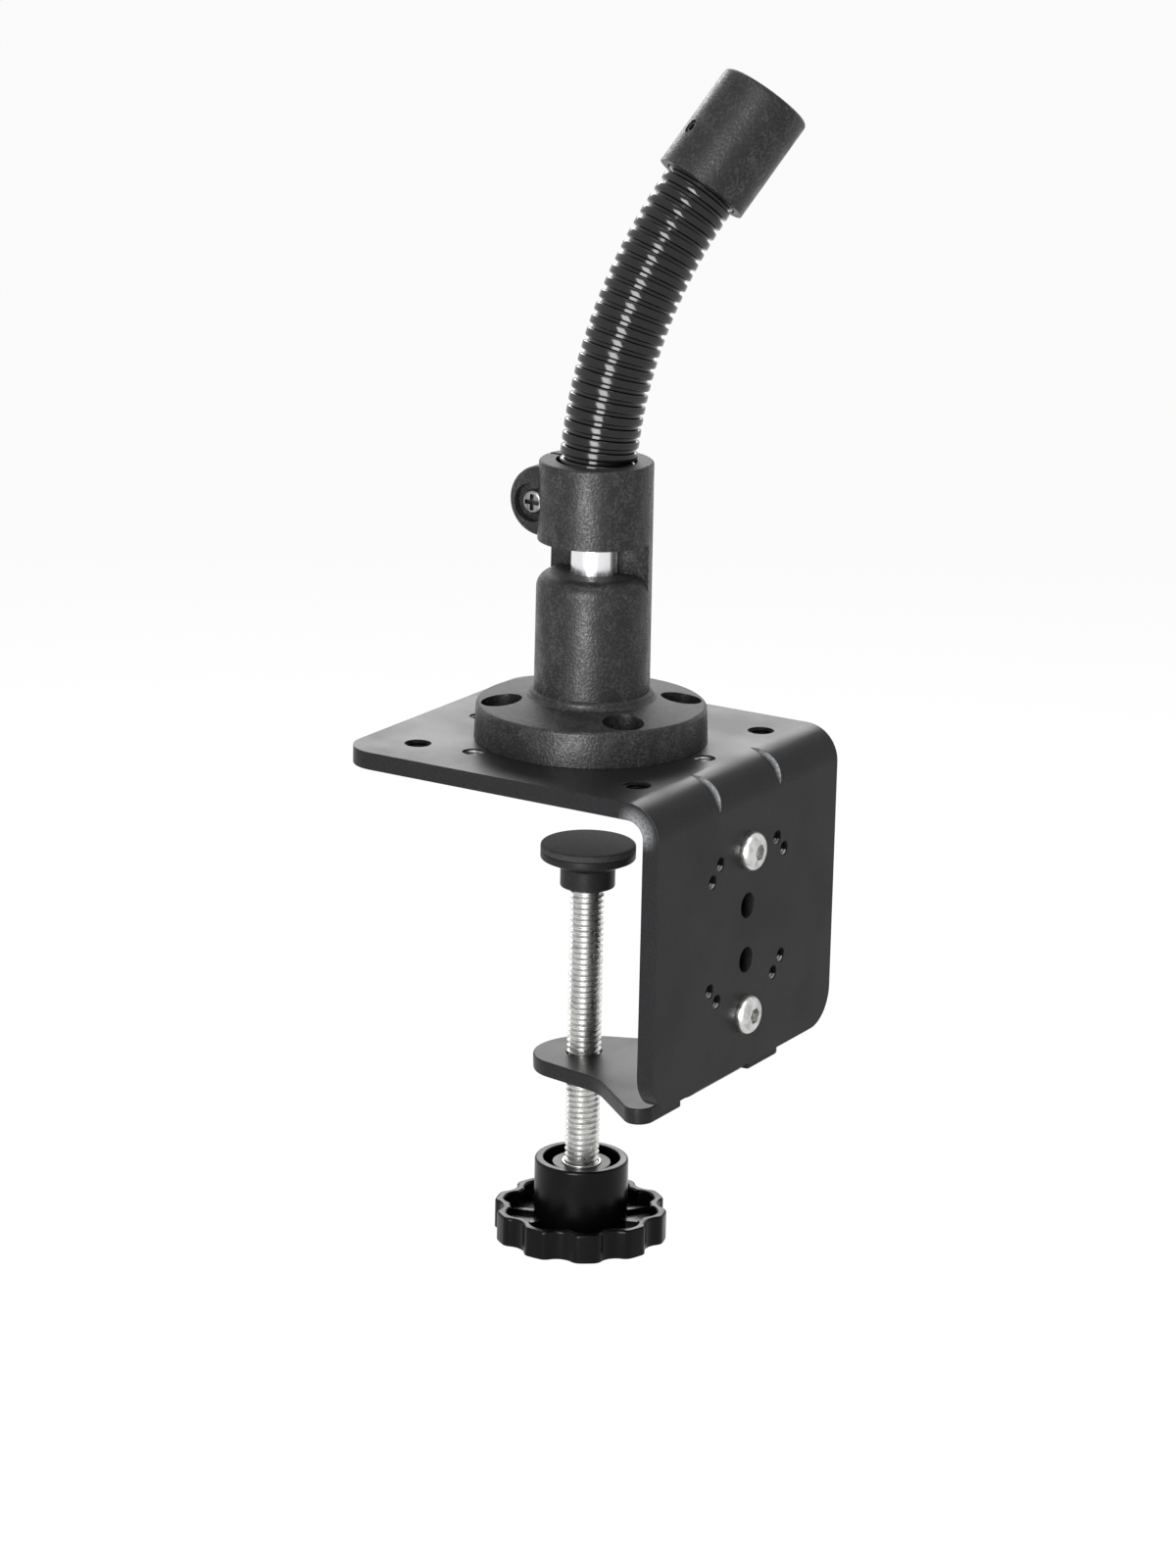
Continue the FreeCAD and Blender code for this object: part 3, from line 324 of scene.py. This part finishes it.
def meshOf(name, bm):
    mesh = bpy.data.meshes.new(name)
    bm.to_mesh(mesh)
    bm.free()
    return mesh


def weighted(piece):
    modifier = piece.modifiers.new("weighted", "WEIGHTED_NORMAL")
    modifier.keep_sharp = True
    return piece


# a carried-over solid: its loose triangles merged, flat faces joined and every hard edge broken
def softened(node, name, width, segments=2, angle=32, change=None):
    bm = bmesh.new()
    bm.from_mesh(frame["nodes"][node].data)
    bmesh.ops.remove_doubles(bm, verts=bm.verts, dist=2e-6)
    if change:
        change(bm)
    bmesh.ops.dissolve_limit(bm, angle_limit=radians(0.5), verts=bm.verts, edges=bm.edges)
    hard = [edge for edge in bm.edges if edge.is_manifold and edge.calc_face_angle() > radians(angle)]
    bmesh.ops.bevel(bm, geom=hard, offset=width * mm, offset_type="OFFSET", affect="EDGES", segments=segments,
                    profile=0.5, material=-1, clamp_overlap=True)
    smoothed(bm, 45)
    return weighted(addPiece(name, meshOf(name, bm), node))


# camera: the photograph's own viewpoint, its frame taken as 1200 by 1600
view = {"spotMm": (-1059.30, -643.02, 353.44), "azimuth": -58.72, "elevation": 16.28, "roll": 1.24,
        "focalPixels": 4879.1, "imageWidth": 1200, "imageHeight": 1600}
cameraData = bpy.data.cameras.new("camera")
cameraData.sensor_fit = "VERTICAL"
cameraData.sensor_height = 24.0
cameraData.lens = view["focalPixels"] * cameraData.sensor_height / view["imageHeight"]
cameraData.clip_start = 0.05
cameraData.clip_end = 50
camera = bpy.data.objects.new("camera", cameraData)
bpy.context.scene.collection.objects.link(camera)
turn = Matrix.Rotation(radians(view["azimuth"]), 4, "Z") @ Matrix.Rotation(radians(90 - view["elevation"]), 4, "X")
camera.matrix_world = (Matrix.Translation(Vector(view["spotMm"]) * mm) @ turn
                       @ Matrix.Rotation(radians(view["roll"]), 4, "Z"))
bpy.context.scene.camera = camera
print("camera placed")

# floor, world and lamps: a white studio with a wide soft box to the left, one low behind and a weak one above
studio = {"floorLevel": -0.30, "floorHalf": 6.0, "worldStrength": 0.32, "paperGlow": 0.94, "aim": (0, 0, 0.02),
          "lamps": [("sideBox", (-1.0, -0.23, 0.16), 0.44, 0.9, 20),
                    ("backBox", (0.95, 0.62, 0.55), 1.1, 0.5, 11),
                    ("topBox", (-0.35, -0.25, 1.3), 0.8, 0.8, 5)]}


# the share of a shader that the lens, reflections and clear things see, and lighting doesn't
def seenOnly(tree):
    rays = addNode(tree, "ShaderNodeLightPath", out="Is Camera Ray").node
    seen = addNode(tree, "ShaderNodeMath", {"operation": "MAXIMUM"},
                   links={0: rays.outputs["Is Camera Ray"], 1: rays.outputs["Is Glossy Ray"]})
    return addNode(tree, "ShaderNodeMath", {"operation": "MAXIMUM"},
                   links={0: seen, 1: rays.outputs["Is Transmission Ray"]})


# matte white studio paper: a glow of its own keeps it white to the lens, and it keeps the shadow
def studioPaper():
    material, tree, shader, place = startMaterial("studioPaper", {"colour": "#fafafa", "roughness": 0.9})
    glow = addNode(tree, "ShaderNodeEmission", values={"Color": (1, 1, 1, 1), "Strength": 1.0})
    share = addNode(tree, "ShaderNodeMath", {"operation": "MULTIPLY"}, {1: studio["paperGlow"]}, {0: seenOnly(tree)})
    mixed = addNode(tree, "ShaderNodeMixShader", links={0: share, 1: shader.outputs[0], 2: glow})
    tree.links.new(mixed, tree.nodes["Material Output"].inputs["Surface"])
    return material


bm = bmesh.new()
bmesh.ops.create_grid(bm, x_segments=1, y_segments=1, size=studio["floorHalf"])
bmesh.ops.translate(bm, verts=bm.verts, vec=(0, 0, studio["floorLevel"]))
floor = bpy.data.objects.new("floor", meshOf("floor", bm))
bpy.context.scene.collection.objects.link(floor)
floor.data.materials.append(studioPaper())
world = bpy.data.worlds.new("studio")
bpy.context.scene.world = world
world.use_nodes = True
sky = world.node_tree.nodes["Background"]
sky.inputs["Color"].default_value = (1, 1, 1, 1)
strength = addNode(world.node_tree, "ShaderNodeMapRange", values={3: studio["worldStrength"], 4: 1.0},
                   links={0: seenOnly(world.node_tree)})
world.node_tree.links.new(strength, sky.inputs["Strength"])
for name, spot, width, height, power in studio["lamps"]:
    lamp = bpy.data.lights.new(name, "AREA")
    lamp.shape = "RECTANGLE"
    lamp.size = width
    lamp.size_y = height
    lamp.energy = power
    holder = bpy.data.objects.new(name, lamp)
    bpy.context.scene.collection.objects.link(holder)
    holder.location = spot
    holder.rotation_euler = (Vector(studio["aim"]) - Vector(spot)).to_track_quat("-Z", "Y").to_euler()
bpy.context.scene.view_settings.view_transform = "Standard"
print("studio ready")

# plates, base, post and plain pieces
softened("clamp_bracket", "foldedPlate", 0.5)
softened("lower_jaw", "lowerJaw", 0.5)
# the base's collar is drawn in to the post's foot, so that the flare runs up to it
collar = {"radius": 16.5, "level": 18.6, "drawnTo": 15.75}


def drawnIn(bm):
    rim = [vert for vert in bm.verts if abs(vert.co.z - collar["level"] * mm) < 2e-5
           and abs(vert.co.xy.length - collar["radius"] * mm) < 2e-5]
    share = collar["drawnTo"] / collar["radius"]
    bmesh.ops.scale(bm, vec=(share, share, 1), verts=rim)


softened("flange_base", "roundBase", 0.5, change=drawnIn)
softened("post", "splitPost", 0.5)
softened("flange_screws", "baseScrews", 0.3)
softened("post_bolt", "centreBolt", 0.2)
softened("post_washer", "centreWasher", 0.15)
pinchScrew = softened("ear_screw", "pinchScrew", 0.15)
pinchScrew.data.materials[0] = greyZinc
pinchScrew.data.materials.append(finishes["dark_steel"])
# painted shade: the faces in the cross recess of the pinch screw take the dark steel finish
cross = {"axisY": 15.9, "axisZ": 68.5, "reach": 2.35, "floor": -5.0, "mouth": -6.55}
for face in pinchScrew.data.polygons:
    spot = face.center / mm
    inside = hypot(spot.y - cross["axisY"], spot.z - cross["axisZ"]) < cross["reach"]
    if inside and cross["mouth"] < spot.x < cross["floor"]:
        face.material_index = 1
softened("ear_nut", "pinchNut", 0.2)
softened("jaw_screws", "buttonScrews", 0.2)
softened("jaw_nuts", "jawNuts", 0.4)
softened("pressure_pad", "padDish", 0.3)
softened("pad_cushion", "padFacing", 0.3)
softened("pad_retainer", "padRing", 0.15)
softened("knob", "lobedKnob", 0.7)
softened("knob_insert", "knobCollar", 0.2)
softened("end_fitting", "endSocket", 0.5)
softened("end_set_screw", "grubScrew", 0.15)
softened("end_insert", "threadInsert", 0.2)
print("plain pieces dressed")


# shapes turned about the Z axis from a half profile in millimetres
def turnedShape(points, steps=64, closed=True):
    bm = bmesh.new()
    verts = [bm.verts.new((radius * mm, 0, level * mm)) for radius, level in points]
    count = len(verts)
    edges = [bm.edges.new((verts[i], verts[(i + 1) % count])) for i in range(count if closed else count - 1)]
    bmesh.ops.spin(bm, geom=verts + edges, cent=(0, 0, 0), axis=(0, 0, 1), angle=2 * pi, steps=steps, use_merge=True)
    bmesh.ops.remove_doubles(bm, verts=bm.verts, dist=1e-7)
    bmesh.ops.recalc_face_normals(bm, faces=bm.faces)
    return bm


# gooseneck: rod and corrugated sleeve made straight, then bent along the arc
neck = {"leanAzimuth": -35.0, "bendStart": 70.0, "bendRadius": 133.0, "bendAngle": 38.0,
        "sleeveStart": 61.9, "sleeveTail": 4.0, "pitch": 3.3, "rootRadius": 9.1, "crestRadius": 10.3,
        "innerRadius": 6.65, "firstRib": 63.4, "rodRadius": 6.35, "rodBottom": 26.0, "rodTail": 14.0}
arcLength = neck["bendRadius"] * radians(neck["bendAngle"])


def onArc(point):
    start, radius, full = neck["bendStart"] * mm, neck["bendRadius"] * mm, radians(neck["bendAngle"])
    along = point.z - start
    if along <= 0:
        bent = Vector(point)
    else:
        turned = min(along / radius, full)
        rest = along - turned * radius
        reach = radius - point.x
        bent = Vector((radius - reach * cos(turned) + rest * sin(turned), point.y,
                       start + reach * sin(turned) + rest * cos(turned)))
    return Matrix.Rotation(radians(neck["leanAzimuth"]), 3, "Z") @ bent


def bentShape(bm):
    for vert in bm.verts:
        vert.co = onArc(vert.co)
    return bm


sleeveEnd = neck["bendStart"] + arcLength + neck["sleeveTail"]
ribShape = [(-1.3, 0.0), (-1.12, 0.8), (-0.95, 1.08), (-0.7, 1.2), (0.7, 1.2), (0.95, 1.08), (1.12, 0.8), (1.3, 0.0)]
profile = [(neck["innerRadius"], neck["sleeveStart"]), (neck["rootRadius"], neck["sleeveStart"])]
level = neck["firstRib"]
while level < sleeveEnd - 1.5:
    profile += [(neck["rootRadius"] + rise, level + shift) for shift, rise in ribShape]
    level += neck["pitch"]
profile += [(neck["rootRadius"], sleeveEnd), (neck["innerRadius"], sleeveEnd)]
tube = turnedShape(profile, 56)
bmesh.ops.subdivide_edges(tube, edges=[edge for edge in tube.edges if edge.calc_length() > 20 * mm], cuts=60)
smoothed(bentShape(tube), 50)
sleeve = addPiece("ribbedSleeve", meshOf("ribbedSleeve", tube), "conduit", rides=False)
rodTop = neck["bendStart"] + arcLength + neck["rodTail"]
bar = turnedShape([(0, neck["rodBottom"]), (neck["rodRadius"] - 0.6, neck["rodBottom"]),
                   (neck["rodRadius"], neck["rodBottom"] + 0.6), (neck["rodRadius"], neck["bendStart"]),
                   (neck["rodRadius"], rodTop - 0.6), (neck["rodRadius"] - 0.6, rodTop), (0, rodTop)], 48, False)
bmesh.ops.subdivide_edges(bar, edges=[edge for edge in bar.edges if edge.calc_length() > 60 * mm
                                      and abs(edge.verts[0].co.xy.length - edge.verts[1].co.xy.length) < 1e-5], cuts=40)
smoothed(bentShape(bar), 30)
rod = addPiece("neckRod", meshOf("neckRod", bar), "core_rod", rides=False)
for piece in (sleeve, rod):
    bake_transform(piece)
print("gooseneck bent:", round(arcLength, 1), "mm of arc")

# clamp screw: a rolled thread with a plain tip inside the pad
thread = {"major": 4.74, "minor": 3.95, "pitch": 1.5875, "top": -32.6, "bottom": -126.6, "tip": 3.2, "tipTop": -28.3,
          "shoulder": -32.0, "steps": 36}


def threadedScrew():
    bm = bmesh.new()
    pitch = thread["pitch"]
    crest, rootFlat = 0.16 * pitch, 0.2 * pitch
    flank = (pitch - crest - rootFlat) / 2
    corners = [(thread["minor"], 0), (thread["minor"], rootFlat), (thread["major"], rootFlat + flank),
               (thread["major"], rootFlat + flank + crest), (thread["minor"], pitch)]
    turns = int((thread["top"] - thread["bottom"]) / pitch) + 3
    verts = [bm.verts.new((radius * mm, 0, (thread["bottom"] - 1.5 * pitch + rise) * mm)) for radius, rise in corners]
    edges = [bm.edges.new((verts[i], verts[i + 1])) for i in range(4)]
    bmesh.ops.spin(bm, geom=verts + edges, cent=(0, 0, 0), axis=(0, 0, 1), angle=2 * pi * turns,
                   steps=turns * thread["steps"], dvec=(0, 0, pitch * mm / thread["steps"]))
    bmesh.ops.remove_doubles(bm, verts=bm.verts, dist=4e-6)
    for level, outward in ((thread["bottom"], -1), (thread["top"], 1)):
        cut = bmesh.ops.bisect_plane(bm, geom=bm.verts[:] + bm.edges[:] + bm.faces[:], dist=1e-7,
                                     plane_co=(0, 0, level * mm), plane_no=(0, 0, outward), clear_outer=True)
        rim = [item for item in cut["geom_cut"] if isinstance(item, bmesh.types.BMEdge)]
        bmesh.ops.edgeloop_fill(bm, edges=rim)
    bmesh.ops.recalc_face_normals(bm, faces=bm.faces)
    tip = turnedShape([(0, thread["top"] - 0.3), (4.1, thread["top"] - 0.3), (4.1, thread["shoulder"]),
                       (thread["tip"], thread["shoulder"]), (thread["tip"], thread["tipTop"] - 0.3),
                       (thread["tip"] - 0.3, thread["tipTop"]), (0, thread["tipTop"])], 40, False)
    tipMesh = meshOf("tip", tip)
    bm.from_mesh(tipMesh)
    bpy.data.meshes.remove(tipMesh)
    smoothed(bm, 28)
    return bm


addPiece("threadedScrew", meshOf("threadedScrew", threadedScrew()), "clamp_screw")
print("clamp screw threaded")

# tapped holes of the plate: the pilot holes show bare grey thread; the others are painted near black as shade, with a
# painted glint of grey zinc on the lower flanks near the mouth of the face holes
tapped = {"pitch": 0.8, "depth": 0.42, "inset": 0.35, "steps": 24, "glintReach": 1.9,
          "pilot": {"radius": 2.86, "ring": 35.5, "turns": (30, 90, 150, 270)},
          "corner": {"radius": 3.56, "across": 32.5, "along": 34.2},
          "face": {"radius": 1.97, "rows": (15.085, 19.05), "level": -37.45}}


def tappedWall(name, radius, thickness, place, upright, slotName):
    low, pitch, crest = tapped["inset"], tapped["pitch"], radius - tapped["depth"]
    count = int((thickness - 2 * low) / pitch)
    points = []
    for turn in range(count):
        points += [(radius - 0.05, low + pitch * turn), (crest, low + pitch * (turn + 0.5))]
    points += [(radius - 0.05, low + pitch * count), (radius, low + pitch * count), (radius, low)]
    wall = turnedShape(points, tapped["steps"])
    if not upright:
        bmesh.ops.rotate(wall, verts=wall.verts, cent=(0, 0, 0), matrix=Matrix.Rotation(-pi / 2, 3, "X"))
    bmesh.ops.translate(wall, verts=wall.verts, vec=[amount * mm for amount in place])
    smoothed(wall, 25)
    piece = bpy.data.objects.new(name, meshOf(name, wall))
    bpy.context.scene.collection.objects.link(piece)
    # painted shade: the threads of the corner and face holes take near-black steel
    piece.data.materials.append(greyZinc if slotName == "bright_steel" else threadShadeSteel)
    piece.data.materials.append(greyZinc)
    # painted glint: in the face holes, the lower flanks within reach of the mouth take the grey zinc
    mouth = place[1] + tapped["glintReach"]
    for face in piece.data.polygons:
        if not upright and face.normal.y < -0.3 and face.normal.z > 0.36 and face.center.y < mouth * mm:
            face.material_index = 1
    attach(piece, "mount")


gauge = 4.8
for angle in tapped["pilot"]["turns"]:
    ring, turn = tapped["pilot"]["ring"], radians(angle)
    tappedWall("pilotThread%d" % angle, tapped["pilot"]["radius"], gauge, (ring * cos(turn), ring * sin(turn), 0),
               True, "bright_steel")
for spot, (across, along) in enumerate([(1, 1), (1, -1), (-1, 1), (-1, -1)]):
    place = (across * tapped["corner"]["across"], along * tapped["corner"]["along"], 0)
    tappedWall("cornerThread%d" % spot, tapped["corner"]["radius"], gauge, place, True, "dark_steel")
    short, long = tapped["face"]["rows"]
    for row, (first, second) in enumerate([(short, long), (long, short)]):
        place = (across * first, -50, tapped["face"]["level"] + along * second)
        tappedWall("faceThread%d_%d" % (row, spot), tapped["face"]["radius"], gauge, place, False, "dark_steel")
print("tapped holes dressed")
